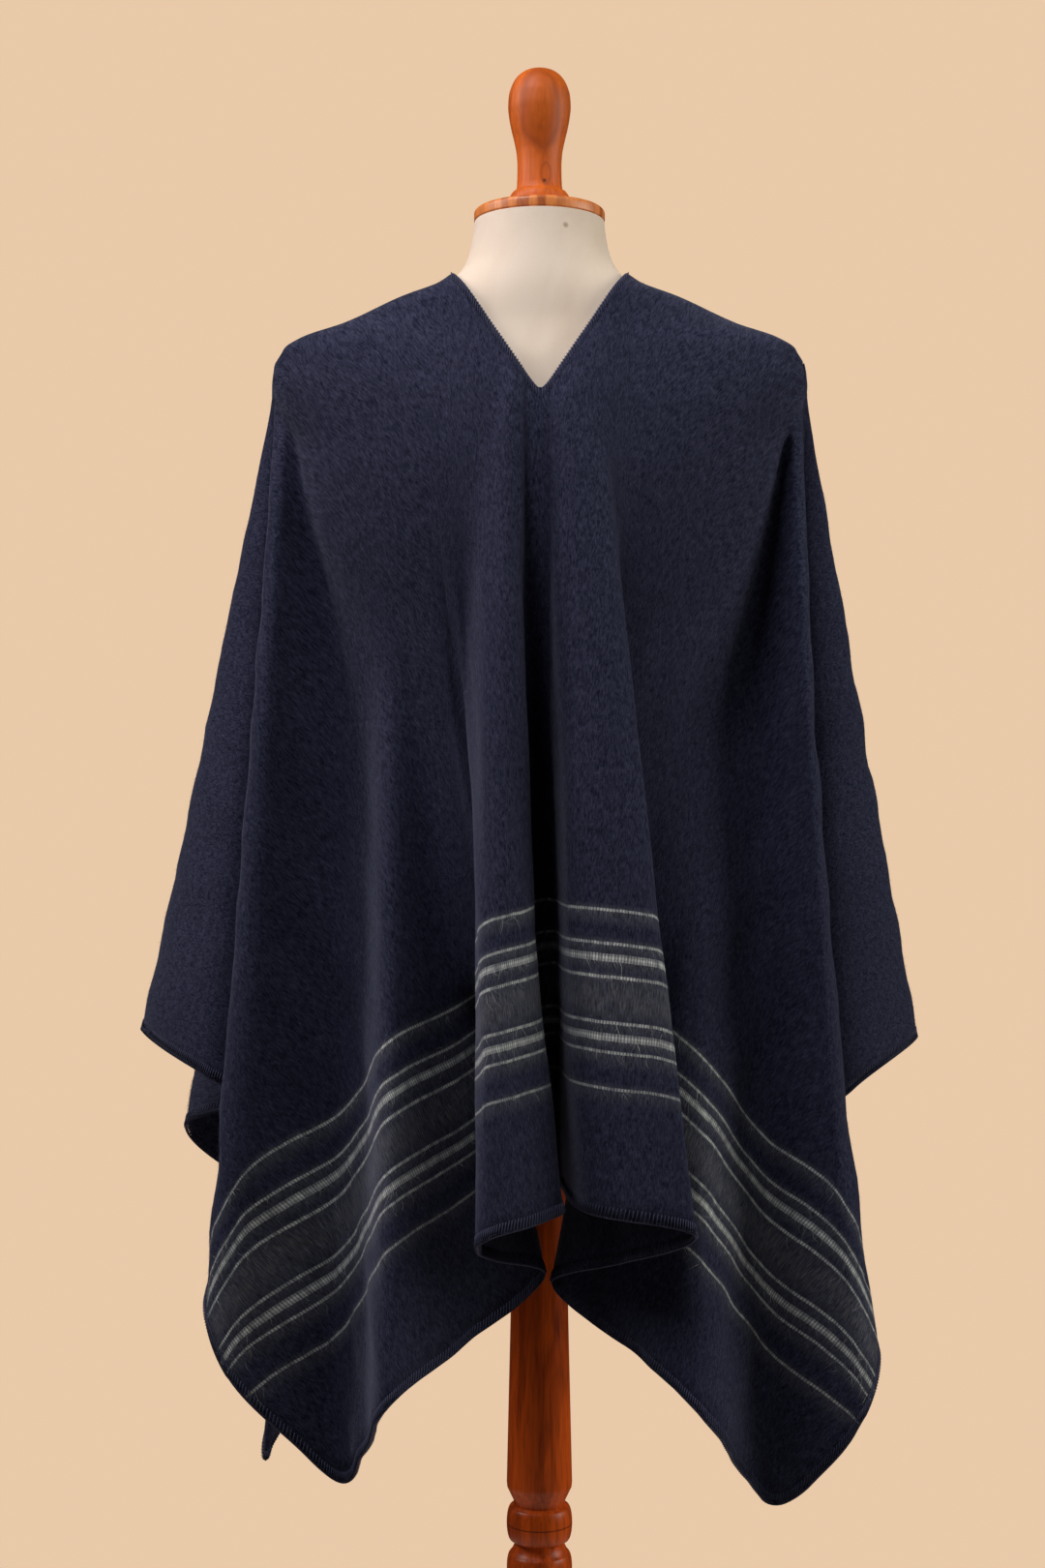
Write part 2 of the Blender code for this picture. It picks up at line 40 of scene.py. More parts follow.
# the cloth's cut and hang, in metres; the front faces -Y, left and right are those of one who faces it
poncho = {
    "halfWidth": 0.776,  # from the cloth's middle to a side edge
    "drop": 0.752,  # from the shoulder fold to the front or back hem
    "wall": 0.002,
    "clear": 0.0015,  # between the cloth and the form where it rests
    "restHeight": 1.405,  # below this it hangs free of the form
    "standOff": 0.012,  # how far it clears the form there
    "easeHeight": 0.1,  # over which it comes to clear it
    "softness": 0.016,  # over which it leaves the form's face
    "easeShare": 0.05,  # less so over this first share of the way down
    "armRound": 0.94,  # it bridges from the chest past the form's sides
    "sideSlope": 1.5,  # how fast it may go forward or back beside them
    "cornerRound": 0.03,  # the front corners are rounded over this much of each edge
    "backRound": 0.012,  # and the back corners over this
    "neckHalf": 0.055,  # half the neck opening along the shoulder fold, in the cloth
    "neckFront": 0.124,  # depth of the V below the fold, in the cloth
    "neckRound": 0.08,  # how blunt the V's point is
    "neckBack": 0.05,  # depth of the curve behind
    "shoulderRun": 0.1565,  # cloth from the neck point to the shoulder end
    "neckPoint": 0.0715,  # half the opening as it hangs
    "neckEase": 1.04,  # above 1 the V's sides bow a little inwards
    "shoulderEnd": 0.215,
    "ridgeEnd": 1.4,  # heights of the shoulder line's end and top
    "ridgeTop": 1.5,
    "endFall": 1.2,  # how steeply the shoulder line falls past its end
    "neckTop": 1.466,  # heights of the opening's sides, front and back
    "vBottom": 1.3585,
    "backNeck": 1.45,
    "takeUp": 0.02,  # length lost over the shoulder's round
    "takeFrom": 0.6,  # from this start on
    "slip": 0.03,  # the shoulder fold has slipped forward at the left
    "bellWide": 0.32,  # the plain bell that the folds open from, half its width
    "bellDeep": 0.15,
    "columns": 330,  # in front and behind, before the shoulders are matched
    "turnWeight": 0.03,  # metres of hem that one radian of turning counts for
    "evenWeight": 0.5,
    "rows": 66,
    "rowEase": 1.45,  # above 1 the rows lie closer at the top
    "ripple": 0.0014,  # soft small unevenness of the hanging cloth
    "rippleTop": 1.36,  # it starts at this height
    "rippleEase": 0.16,  # and is full this much lower
}
# a quarter of the cloth's edge and the whole of it
flatEdge = poncho["halfWidth"] + poncho["drop"]
loop = 4 * flatEdge

# sections of the form: height, half width, depth in front, depth behind, roundness
formRows = [
    (0.862, 0.112, 0.050, 0.048, 2.1), (0.876, 0.131, 0.067, 0.065, 2.2), (0.920, 0.138, 0.074, 0.073, 2.2),
    (1.040, 0.122, 0.076, 0.070, 2.2), (1.150, 0.138, 0.088, 0.078, 2.2), (1.250, 0.162, 0.099, 0.087, 2.2),
    (1.310, 0.174, 0.098, 0.087, 2.2), (1.345, 0.190, 0.095, 0.085, 2.2), (1.374, 0.202, 0.088, 0.080, 2.2),
    (1.400, 0.205, 0.080, 0.073, 2.2), (1.410, 0.193, 0.075, 0.068, 2.1), (1.4225, 0.158, 0.072, 0.066, 2.0),
    (1.443, 0.114, 0.070, 0.064, 2.0), (1.456, 0.080, 0.067, 0.062, 2.0), (1.468, 0.066, 0.064, 0.060, 2.0),
    (1.490, 0.0565, 0.058, 0.056, 2.0), (1.5137, 0.0535, 0.0545, 0.0535, 2.0)]

# folds by edge: place on it, start on the neck and shoulder line, x, y, bend x, bend y, opens
foldRows = {
    "left": [
        (0.0, -2.0, -0.331, 0.05, 1.04, 1.1, 0.13),
        (0.19, -2.0, -0.268, -0.062, 1.1, 1.4, 0.16),
        (0.37, -2.0, -0.166, -0.022, 1.1, 1.3, 0.3),
        (0.545, -2.0, -0.256, -0.13, 1.1, 0.9, 0.16),
        (0.64, -1.94, -0.236, -0.142, 1.1, 0.8, 0.13),
        (-0.56, -1.86, -0.2, 0.19, 1.1, 1.1, 0.15),
        (-0.345, -1.98, -0.312, 0.134, 1.2, 1.1, 0.14),
        (-0.18, -2.0, -0.19, 0.046, 1.2, 1.2, 0.24),
    ],
    "front": [
        (-0.776, -1.75, -0.159, -0.098, 0.6, 1.1, 0.16),
        (-0.7, -1.58, -0.137, -0.124, 0.6, 1.4, 0.18),
        (-0.605, -1.36, -0.116, -0.19, 1.1, 1.0, 0.2),
        (-0.49, -1.16, -0.054, -0.116, 0.8, 1.1, 0.22),
        (-0.385, -1.0, 0.004, -0.054, 2.4, 1.1, 0.24),
        (-0.29, -0.84, -0.04, -0.13, 1.6, 0.9, 0.22),
        (-0.2, -0.55, -0.043, -0.214, 1.0, 0.75, 0.2),
        (-0.118, -0.3, 0.006, -0.186, 2.3, 0.5, 0.04),
        (-0.098, -0.23, 0.015, -0.172, 2.7, 0.5, 0.03),
        (-0.045, -0.16, -0.002, -0.098, 2.2, 1.1, 0.03),
        (0.0, 0.02, 0.016, -0.078, 1.3, 1.2, 0.03),
        (0.08, 0.18, 0.03, -0.165, 1.6, 0.6, 0.05),
        (0.2, 0.55, 0.112, -0.214, 1.05, 0.75, 0.2),
        (0.3, 0.84, 0.06, -0.13, 1.6, 0.9, 0.22),
        (0.4, 1.0, 0.01, -0.057, 2.4, 1.1, 0.24),
        (0.485, 1.2, 0.06, -0.12, 1.5, 1.1, 0.22),
        (0.6, 1.5, 0.116, -0.18, 0.6, 1.5, 0.2),
        (0.776, 1.75, 0.188, -0.1, 1.1, 1.3, 0.16),
    ],
    "right": [
        (0.67, 1.92, 0.238, -0.138, 1.7, 0.7, 0.13),
        (0.585, 2.0, 0.26, -0.124, 2.2, 0.8, 0.14),
        (0.39, 2.0, 0.166, -0.022, 1.3, 1.3, 0.3),
        (0.2, 2.0, 0.254, -0.04, 1.1, 1.4, 0.16),
        (0.0, 2.0, 0.314, 0.03, 1.0, 1.1, 0.13),
        (-0.2, 2.0, 0.196, 0.07, 1.2, 1.2, 0.24),
        (-0.4, 1.98, 0.248, 0.165, 1.1, 1.1, 0.14),
        (-0.6, 1.86, 0.15, 0.142, 1.1, 1.1, 0.15),
    ],
    "back": [
        (0.776, 1.68, 0.196, 0.216, 1.1, 1.1, 0.16),
        (0.6, 1.4, 0.13, 0.16, 1.1, 1.0, 0.2),
        (0.44, 0.97, 0.056, 0.11, 2.2, 1.1, 0.24),
        (0.28, 0.68, 0.128, 0.19, 1.1, 0.8, 0.2),
        (0.18, 0.44, 0.07, 0.214, 1.1, 0.8, 0.2),
        (0.02, 0.05, 0.006, 0.09, 1.2, 1.1, 0.2),
        (-0.14, -0.36, -0.066, 0.21, 1.1, 0.8, 0.2),
        (-0.25, -0.64, -0.12, 0.196, 1.1, 0.8, 0.2),
        (-0.41, -0.95, -0.048, 0.11, 2.2, 1.1, 0.24),
        (-0.58, -1.4, -0.14, 0.19, 1.1, 1.0, 0.2),
        (-0.776, -1.52, -0.2385, 0.102, 1.1, 1.1, 0.16),
    ],
}


# the cubic between two knots with a tangent at each
def cubicCurve(knots, values, tangent, at, i):
    h = np.diff(knots)
    s = (at - knots[i]) / h[i]
    return ((2 * s ** 3 - 3 * s ** 2 + 1) * values[i] + (s ** 3 - 2 * s ** 2 + s) * h[i] * tangent[i]
            + (3 * s ** 2 - 2 * s ** 3) * values[i + 1] + (s ** 3 - s ** 2) * h[i] * tangent[i + 1])


# a smooth curve through rows that never turns back between two of them
def steadyCurve(knots, values, at):
    h = np.diff(knots)
    slope = np.diff(values) / h
    same = slope[:-1] * slope[1:] > 0
    first = np.where(same, slope[:-1], 1)
    second = np.where(same, slope[1:], 1)
    mean = 3 * (h[:-1] + h[1:]) / ((2 * h[1:] + h[:-1]) / first + (h[1:] + 2 * h[:-1]) / second)
    tangent = np.concatenate([[slope[0]], np.where(same, mean, 0), [slope[-1]]])
    i = np.clip(np.searchsorted(knots, at, side="right") - 1, 0, len(knots) - 2)
    return cubicCurve(knots, values, tangent, at, i)


formColumns = [np.array(c) for c in zip(*formRows)]


# the form's section at a height: half width, depth in front, depth behind, roundness
def formHalf(z, grow=0.0):
    inside = np.clip(z - grow, formColumns[0][0], formColumns[0][-1])
    wide, ahead, behind, power = [steadyCurve(formColumns[0], c, inside) for c in formColumns[1:]]
    return wide + grow, ahead + grow, behind + grow, power


# how far forward or back the form's face stands, nothing beside the form
def formFace(x, z, front, grow=0.0):
    wide, ahead, behind, power = formHalf(z, grow)
    left = np.clip(1 - np.abs(x / wide) ** power, 0, 1)
    inside = (z - grow <= formRows[-1][0]) & (z >= formRows[0][0] - 2 * grow) & (left > 0)
    part = left ** (1 / power)
    return np.where(inside, -ahead * part if front else behind * part, 0)


# height of the form's shoulder line, which falls away past its end
def shoulderTop(x, grow=0.0):
    heights = np.linspace(poncho["ridgeEnd"], poncho["ridgeTop"], 200)[::-1]
    reach = formHalf(heights + grow, grow)[0]
    past = np.maximum(np.abs(x) - reach[-1], 0)
    return np.interp(np.abs(x), reach, heights) + grow - poncho["endFall"] * past


# a place along the whole edge, which runs from the left side's middle round the front
def edgePlace(edge, place):
    drop, halfWidth = poncho["drop"], poncho["halfWidth"]
    return {"left": place if place >= 0 else loop + place,
            "front": drop + halfWidth + place,
            "right": 2 * flatEdge - place,
            "back": 2 * flatEdge + drop + halfWidth - place}[edge]


# where a place on the edge lies in the flat cloth, its corners rounded
def edgeCloth(g):
    drop, halfWidth = poncho["drop"], poncho["halfWidth"]
    knots = [0, drop, drop + 2 * halfWidth, 2 * flatEdge, 2 * flatEdge + drop,
             2 * flatEdge + drop + 2 * halfWidth, loop]
    across = [-halfWidth, -halfWidth, halfWidth, halfWidth, halfWidth, -halfWidth, -halfWidth]
    down = [0, drop, drop, 0, -drop, -drop, 0]
    rounding = np.where(np.mod(g, loop) < 2 * flatEdge, poncho["cornerRound"], poncho["backRound"])
    near = [np.mod(g + rounding * step, loop) for step in np.linspace(-1, 1, 9)]
    u = np.mean([np.interp(place, knots, across) for place in near], axis=0)
    v = np.mean([np.interp(place, knots, down) for place in near], axis=0)
    return u, v


# a smooth curve through rows round the whole edge
def loopCurve(knots, values, at):
    k = np.concatenate([knots[-2:] - loop, knots, knots[:2] + loop])
    v = np.concatenate([values[-2:], values, values[:2]])
    h = np.diff(k)
    slope = np.diff(v) / h
    tangent = np.zeros(len(k))
    tangent[1:-1] = (slope[:-1] * h[1:] + slope[1:] * h[:-1]) / (h[1:] + h[:-1])
    i = np.clip(np.searchsorted(k, at, side="right") - 1, 1, len(k) - 3)
    return cubicCurve(k, v, tangent, at, i)


# the neck edge up to 1 and the shoulder fold up to 2, in the cloth and in space
def startLine(s, front):
    side, a = np.sign(s), np.abs(s)
    neck = np.clip(a, 0, 1)
    run = np.clip(a - 1, 0, 1)
    off = poncho["wall"] / 2 + poncho["clear"]
    turn = neck * math.pi / 2
    blunt = poncho["neckRound"]
    if front:
        rise = (np.hypot(neck, blunt) - blunt) / (math.hypot(1, blunt) - blunt)
        u, v = poncho["neckHalf"] * neck, poncho["neckFront"] * (1 - rise)
        x = poncho["neckPoint"] * neck ** poncho["neckEase"]
        z = poncho["vBottom"] + (poncho["neckTop"] - poncho["vBottom"]) * rise
    else:
        u, v = poncho["neckHalf"] * np.sin(turn), -poncho["neckBack"] * np.cos(turn)
        x = poncho["neckPoint"] * np.sin(turn)
        z = poncho["backNeck"] + (poncho["neckTop"] - poncho["backNeck"]) * neck
    y = formFace(x, z, front, off)
    onNeck = a <= 1
    x = np.where(onNeck, x, poncho["neckPoint"] + (poncho["shoulderEnd"] - poncho["neckPoint"]) * run)
    y = np.where(onNeck, y, 0)
    top = shoulderTop(x, off)
    z = np.where(onNeck, np.minimum(z, top), top)
    u = np.where(onNeck, u, poncho["neckHalf"] + poncho["shoulderRun"] * run)
    v = np.where(onNeck, v, np.where(s < 0, poncho["slip"] * run, 0))
    return side * u, v, side * x, y, z


foldPlaces = [(edgePlace(edge, row[0]), *row[1:]) for edge, rows in foldRows.items() for row in rows]
foldTable = np.array(sorted(foldPlaces)).T


# a steady half of the edge, in front or behind
def halfLoop(front):
    return (0, loop / 2) if front else (loop / 2, loop)


def alongHalf(count, front):
    return np.linspace(0, loop / 2, count) + halfLoop(front)[0]


# where the fold that ends at a place on the edge starts
def foldStartAt(g, front):
    knots = np.append(foldTable[0], loop)
    starts = np.append(foldTable[1], foldTable[1][0])
    near = knots <= loop / 2 + 1e-9 if front else knots >= loop / 2 - 1e-9
    return steadyCurve(knots[near], starts[near], g)


# the middle of the wall at a place round the edge and a share of the way down to it
def clothPoint(g, t, front):
    x1, y1, bendX, bendY, opens = [loopCurve(foldTable[0], foldTable[k], g) for k in range(2, 7)]
    s = foldStartAt(g, front)
    u0, v0, x0, y0, z0 = startLine(s, front)
    u1, v1 = edgeCloth(g)
    length = np.hypot(u1 - u0, v1 - v0)
    forward = np.abs(v1 - v0) / length * np.clip(np.abs(s) - poncho["takeFrom"], 0, 1)
    length = length - poncho["takeUp"] * forward
    z1 = z0 - np.sqrt(length ** 2 - (x1 - x0) ** 2 - (y1 - y0) ** 2)
    turn = math.pi * (1 + 2 * g / loop)
    smoothX, smoothY = poncho["bellWide"] * np.cos(turn), poncho["bellDeep"] * np.sin(turn)
    fold = np.clip(t / opens, 0, 1)
    fold = fold * fold * (3 - 2 * fold)
    x = x0 + (smoothX + (x1 - smoothX) * fold - x0) * t ** bendX
    y = y0 + (smoothY + (y1 - smoothY) * fold - y0) * t ** bendY
    z = z0 + (z1 - z0) * t
    below = np.clip((poncho["restHeight"] - z) / poncho["easeHeight"], 0, 1)
    grow = poncho["wall"] / 2 + poncho["clear"] + poncho["standOff"] * below
    outward = -1 if front else 1
    aside = np.abs(x) * poncho["armRound"]
    beside = np.maximum(aside - formHalf(z, grow)[0], 0)
    face = formFace(aside, z, front, grow) - outward * poncho["sideSlope"] * beside
    soft = poncho["softness"] * np.clip(1 - beside / poncho["softness"], 0, 1)
    soft = soft * np.clip((z - formRows[0][0]) / poncho["softness"], 0, 1)
    past = (y - face) * outward
    early = np.minimum(t / poncho["easeShare"], 1)
    pushed = face + outward * (past + np.sqrt(past ** 2 + soft ** 2 * early)) / 2
    y = np.where(t > 0, pushed, y)
    return np.stack([x, y, z], -1), np.stack([u0 + (u1 - u0) * t, v0 + (v1 - v0) * t], -1)


# places of the columns, closer where the hem turns sharply
def columnPlaces(count, front):
    g = alongHalf(8000, front)
    x, y = [loopCurve(foldTable[0], foldTable[k], g) for k in (2, 3)]
    step = np.diff(x) + 1j * np.diff(y)
    turning = np.abs(np.diff(np.unwrap(np.angle(step))))
    weight = np.abs(step)[1:] + poncho["turnWeight"] * turning + poncho["evenWeight"] * np.diff(g)[1:]
    run = np.concatenate([[0, 0], np.cumsum(weight)])
    return np.interp(np.linspace(0, run[-1], count), run, g)


# columns in front and behind that share their starts along the shoulders
def matchColumns(count, shoulderStep=0.01):
    places, starts = {}, {}
    for front in (True, False):
        places[front] = columnPlaces(count, front)
        starts[front] = foldStartAt(places[front], front)
    both = np.concatenate([starts[True], starts[False]])
    onShoulder = np.sort(both[(np.abs(both) > 1.01) & (np.abs(both) < 1.992)])
    kept = []
    for start in onShoulder:
        if not kept or start - kept[-1] > shoulderStep:
            kept.append(start)
    shared = np.array([-2, -1, 1, 2] + kept)
    for front in (True, False):
        own = places[front][(np.abs(starts[front]) < 0.99) | (np.abs(starts[front]) > 1.99999)]
        g = alongHalf(40000, front)
        s = foldStartAt(g, front)
        order = np.argsort(s, kind="stable")
        at = np.interp(shared, s[order], g[order])
        for k, end in enumerate(shared):
            if abs(end) == 2:
                flat = g[np.abs(s - end) < 1e-9]
                at[k] = flat.max() if (end < 0) == front else flat.min()
        places[front] = np.unique(np.round(np.concatenate([own, at]), 6))
    return places


# a soft random surface over two lengths, about one tall
def smoothNoise(a, b, seed, waves=9):
    random = np.random.default_rng(seed)
    total = np.zeros(np.shape(a))
    for _ in range(waves):
        direction, phase = random.uniform(0, 2 * math.pi, 2)
        size = random.uniform(0.6, 1.6)
        along = a * math.cos(direction) + b * math.sin(direction)
        total = total + np.sin(2 * math.pi * size * along + phase)
    return total / math.sqrt(waves)


# vectors of length one
def unit(vectors, least=1e-12):
    return vectors / np.maximum(np.linalg.norm(vectors, axis=-1, keepdims=True), least)


# a mesh from its points and faces
def meshFrom(name, points, faces):
    mesh = bpy.data.meshes.new(name)
    mesh.from_pydata(points.reshape(-1, 3).tolist(), [], faces)
    made = bpy.data.objects.new(name, mesh)
    bpy.context.scene.collection.objects.link(made)
    return made


# the flat cloth's own measure as the piece's UV map
def setUv(made, perVertex):
    layers = made.data.uv_layers
    layer = layers[0] if layers else layers.new(name="clothUv")
    layer.name = "clothUv"
    corners = np.empty(len(made.data.loops), dtype=np.int32)
    made.data.loops.foreach_get("vertex_index", corners)
    layer.data.foreach_set("uv", np.asarray(perVertex, dtype=np.float32)[corners].ravel())


finish = {
    "navy": (0.0092, 0.0108, 0.0255),
    "navyLight": (0.0525, 0.0565, 0.104),
    "hairLight": (0.085, 0.095, 0.155),
    "smoke": (0.38, 0.4, 0.38),
    "stripe": (0.8, 0.86, 0.84),
    "stitch": (0.028, 0.032, 0.078),
    "coverLight": (0.79, 0.68, 0.575),
    "coverDark": (0.71, 0.59, 0.48),
    "stain": (0.33, 0.22, 0.13),
    "finialLight": (0.67, 0.136, 0.011),
    "finialDark": (0.3, 0.052, 0.006),
    "scored": (0.016, 0.005, 0.003),
    "postLight": (0.74, 0.112, 0.008),
    "postDark": (0.24, 0.03, 0.004),
    "baseLight": (0.36, 0.055, 0.007),
    "baseDark": (0.17, 0.022, 0.004),
    "capLight": (0.8, 0.258, 0.06),
    "capDark": (0.34, 0.0662, 0.0144),
}

# stripes across both ends: distance from the hem, half width, strength
stripeRows = [(0.096, 0.001, 0.6), (0.123, 0.001, 0.76),
              (0.1322, 0.0009, 0.66), (0.1342, 0.0011, 1.0), (0.1362, 0.0008, 0.52),
              (0.145, 0.0011, 0.76), (0.179, 0.0011, 0.84),
              (0.1914, 0.0009, 0.66), (0.1934, 0.0011, 1.0), (0.1954, 0.0008, 0.52),
              (0.204, 0.001, 0.8), (0.229, 0.001, 0.8)]


# a finish of a principled surface and the nodes that feed it
class Shader:
    def __init__(self, name):
        self.material = bpy.data.materials.new(name)
        self.material.use_nodes = True
        self.tree = self.material.node_tree
        self.surface = self.tree.nodes["Principled BSDF"]

    def node(self, kind, settings=None, values=(), **inputs):
        made = self.tree.nodes.new(kind)
        for key, value in (settings or {}).items():
            setattr(made, key, value)
        for key, value in [*enumerate(values), *inputs.items()]:
            self.feed(made.inputs[key], value)
        return made

    def feed(self, socket, value):
        if isinstance(value, bpy.types.NodeSocket):
            self.tree.links.new(value, socket)
        else:
            socket.default_value = value

    def math(self, operation, *values, clamp=False):
        return self.node("ShaderNodeMath", {"operation": operation, "use_clamp": clamp}, values).outputs[0]

    def times(self, first, second):
        return self.math("MULTIPLY", first, second)

    # first times second, plus third
    def scaled(self, first, second, third):
        return self.math("MULTIPLY_ADD", first, second, third)

    # wanders round nothing, as wide as it is tall
    def sway(self, value, height):
        return self.times(self.math("SUBTRACT", value, 0.5), height)

    def mix(self, share, first, second):
        made = self.node("ShaderNodeMix", {"data_type": "RGBA"})
        for index, value in ((0, share), (6, first), (7, second)):
            self.feed(made.inputs[index], (*value, 1) if isinstance(value, tuple) else value)
        return made.outputs[2]

    # place on the object and its three parts
    def place(self):
        place = self.node("ShaderNodeTexCoord").outputs["Object"]
        return place, self.node("ShaderNodeSeparateXYZ", Vector=place).outputs

    # a random field with its cells per metre along each axis
    def noise(self, place, cells, detail=2.0, rough=0.5, distortion=0.0):
        stretched = self.node("ShaderNodeMapping", Vector=place, Scale=cells).outputs[0]
        made = self.node("ShaderNodeTexNoise", Vector=stretched, Scale=1.0, Detail=detail, Roughness=rough,
                         Distortion=distortion)
        return made.outputs[0]

    # nothing at the first value and one at the second, which may be the lower
    def between(self, value, start, end, curve="LINEAR"):
        settings = {"clamp": True, "interpolation_type": curve}
        return self.node("ShaderNodeMapRange", settings, (value, start, end)).outputs[0]

    # one within a spot round a point, fading from the inner to the outer radius
    def spot(self, place, centre, outer, inner):
        made = self.node("ShaderNodeVectorMath", {"operation": "DISTANCE"}, (place, centre))
        return self.between(made.outputs["Value"], outer, inner)

    def use(self, values):
        for socket, value in values.items():
            self.feed(self.surface.inputs[socket], value)

    def bump(self, height, strength, distance):
        made = self.node("ShaderNodeBump", Height=height, Strength=strength, Distance=distance)
        self.use({"Normal": made.outputs[0]})


# the brushed wool's figure: cells per metre across and along the cloth, then lengths in metres
wool = {
    "hairCells": (880, 210, 1),
    "tuftCells": (250, 120, 1),
    "cloudCells": (9, 5, 1),
    "strandCells": (1300, 85, 1),
    "wornCells": (200, 60, 1),
    "wanderCells": (30, 6, 1),
    "smear": 0.0016,  # how far hairs pull a stripe's edge
    "wander": 0.0018,  # how far a stripe strays from straight
    "weavePitch": 0.0024,
    "bandEdge": (1.4, 0.7),  # a stripe fades between these shares of its half width
    "hazeBelow": 0.013,  # how far its light hairs are brushed towards the hem
    "hazeAbove": 0.005,
    "hazeShare": 0.42,
    "smokeRise": (0.136, 0.162),  # the smoky zone's edges, from the hem
    "smokeFall": (0.19, 0.166),
    "smokeShare": 0.38,
    "paler": 0.35,  # how much paler loose hairs are
    "sheenTint": (0.4, 0.43, 0.6, 1),
}


# navy brushed wool with its stripes, by the cloth's own measure
def woolShader(name, loose=False):
    s = Shader(name)
    cloth = s.node("ShaderNodeUVMap", {"uv_map": "clothUv"}).outputs[0]
    u, v, _ = s.node("ShaderNodeSeparateXYZ", Vector=cloth).outputs
    hairs = s.noise(cloth, wool["hairCells"], 3.0, 0.65)
    tufts = s.noise(cloth, wool["tuftCells"], 3.0, 0.6, 0.6)
    clouds = s.noise(cloth, wool["cloudCells"])
    lightness = s.scaled(s.between(hairs, 0.43, 0.65), 0.6, s.times(s.between(tufts, 0.39, 0.66), 0.4))
    lightness = s.times(lightness, s.scaled(clouds, 0.7, 0.65))
    fromHem = s.math("SUBTRACT", poncho["drop"], s.math("ABSOLUTE", v))
    smear = s.sway(hairs, wool["smear"])
    wander = s.sway(s.noise(cloth, wool["wanderCells"]), wool["wander"])
    at = s.math("ADD", fromHem, s.math("ADD", smear, wander))
    dots = s.scaled(s.math("SINE", s.times(u, 2 * math.pi / wool["weavePitch"])), 0.5, 0.5)
    worn = s.between(s.noise(cloth, wool["wornCells"]), 0.34, 0.62)
    bright = s.times(s.scaled(dots, 0.75, 0.25), s.scaled(worn, 0.6, 0.4))
    strands = s.between(s.noise(cloth, wool["strandCells"], 3.0, 0.65), 0.42, 0.72)
    outer, inner = wool["bandEdge"]
    stripes = haze = 0.0
    for place, half, strength in stripeRows:
        away = s.math("SUBTRACT", at, place)
        band = s.between(s.math("ABSOLUTE", away), half * outer, half * inner, "SMOOTHSTEP")
        stripes = s.math("MAXIMUM", stripes, s.times(s.times(band, strength), bright))
        below = s.between(away, -wool["hazeBelow"], 0.0)
        above = s.between(away, wool["hazeAbove"], 0.0)
        brushed = s.times(s.math("MINIMUM", below, above), strength * wool["hazeShare"])
        haze = s.math("MAXIMUM", haze, brushed)
    smokeIn = s.between(at, *wool["smokeRise"], "SMOOTHSTEP")
    smokeOut = s.between(at, *wool["smokeFall"], "SMOOTHSTEP")
    haze = s.math("MAXIMUM", haze, s.times(s.times(smokeIn, smokeOut), wool["smokeShare"]))
    haze = s.times(haze, s.scaled(strands, 0.9, 0.1))
    base = s.mix(lightness, finish["navy"], finish["navyLight"])
    if loose:
        base = s.mix(wool["paler"], base, finish["hairLight"])
    base = s.mix(haze, base, finish["smoke"])
    colour = s.mix(stripes, base, finish["stripe"])
    s.use({"Base Color": colour, "Roughness": 1.0, "Specular IOR Level": 0.04,
           "Sheen Weight": 0.15 if loose else 0.3, "Sheen Roughness": 0.35, "Sheen Tint": wool["sheenTint"]})
    if not loose:
        s.bump(s.scaled(hairs, 0.5, s.times(tufts, 0.7)), 0.62, 0.0014)
    return s.material


woolFinish = woolShader("navy brushed wool")
hairFinish = woolShader("navy loose hairs", loose=True)
print("wool finishes made")


# ripples of the hanging cloth: length across, length down, share of the height, seed
rippleRows = [(0.075, 0.32, 0.7, 3), (0.032, 0.11, 0.3, 5)]


# soft ripples, none where the cloth rests on the form
def clothOffset(points, uv, t):
    u, v = uv[..., 0], uv[..., 1]
    waves = sum(smoothNoise(u / wide, v / long, seed) * share for wide, long, share, seed in rippleRows)
    free = np.clip((poncho["rippleTop"] - points[..., 2]) / poncho["rippleEase"], 0, 1)
    return poncho["ripple"] * waves * free * np.clip(t * 8, 0, 1)


places = matchColumns(poncho["columns"])
columnList = [(g, True) for g in places[True]] + [(g, False) for g in places[False][1:-1]]
fractions = (np.arange(poncho["rows"] + 1) / poncho["rows"]) ** poncho["rowEase"]
columns = [clothPoint(np.full(len(fractions), g), fractions, front) for g, front in columnList]
grid, gridUv = [np.array(part) for part in zip(*columns)]


# normals of the wrapped grid, out of the cloth
def gridNormals(points):
    along = np.roll(points, -1, 0) - np.roll(points, 1, 0)
    return unit(np.cross(np.gradient(points, axis=1), along))


grid = grid + gridNormals(grid) * clothOffset(grid, gridUv, fractions[None, :])[..., None]
print("cloth columns", len(columnList), "rows", len(fractions))

# a flat grid, two wide and two deep, whose vertices go to their places round the cloth
across, deep = len(columnList), len(fractions)
bpy.ops.object.select_all(action="DESELECT")
bpy.ops.mesh.primitive_grid_add(x_subdivisions=across, y_subdivisions=deep - 1, size=2)
cloth = bpy.context.object
cloth.name = cloth.data.name = "ponchoCloth"
wrapped = np.concatenate([grid, grid[:1]])
wrappedUv = np.concatenate([gridUv, gridUv[:1]])
own = np.empty(len(cloth.data.vertices) * 3, dtype=np.float32)
cloth.data.vertices.foreach_get("co", own)
own = own.reshape(-1, 3)
columnOf = np.rint((own[:, 0] + 1) / 2 * across).astype(int)
rowOf = np.rint((own[:, 1] + 1) / 2 * (deep - 1)).astype(int)
cloth.data.vertices.foreach_set("co", wrapped[columnOf, rowOf].astype(np.float32).ravel())
setUv(cloth, wrappedUv[columnOf, rowOf])
bpy.ops.object.mode_set(mode="EDIT")
bpy.ops.mesh.select_all(action="SELECT")
bpy.ops.mesh.remove_doubles(threshold=0.00002)
bpy.ops.mesh.normals_make_consistent(inside=False)
bpy.ops.object.mode_set(mode="OBJECT")
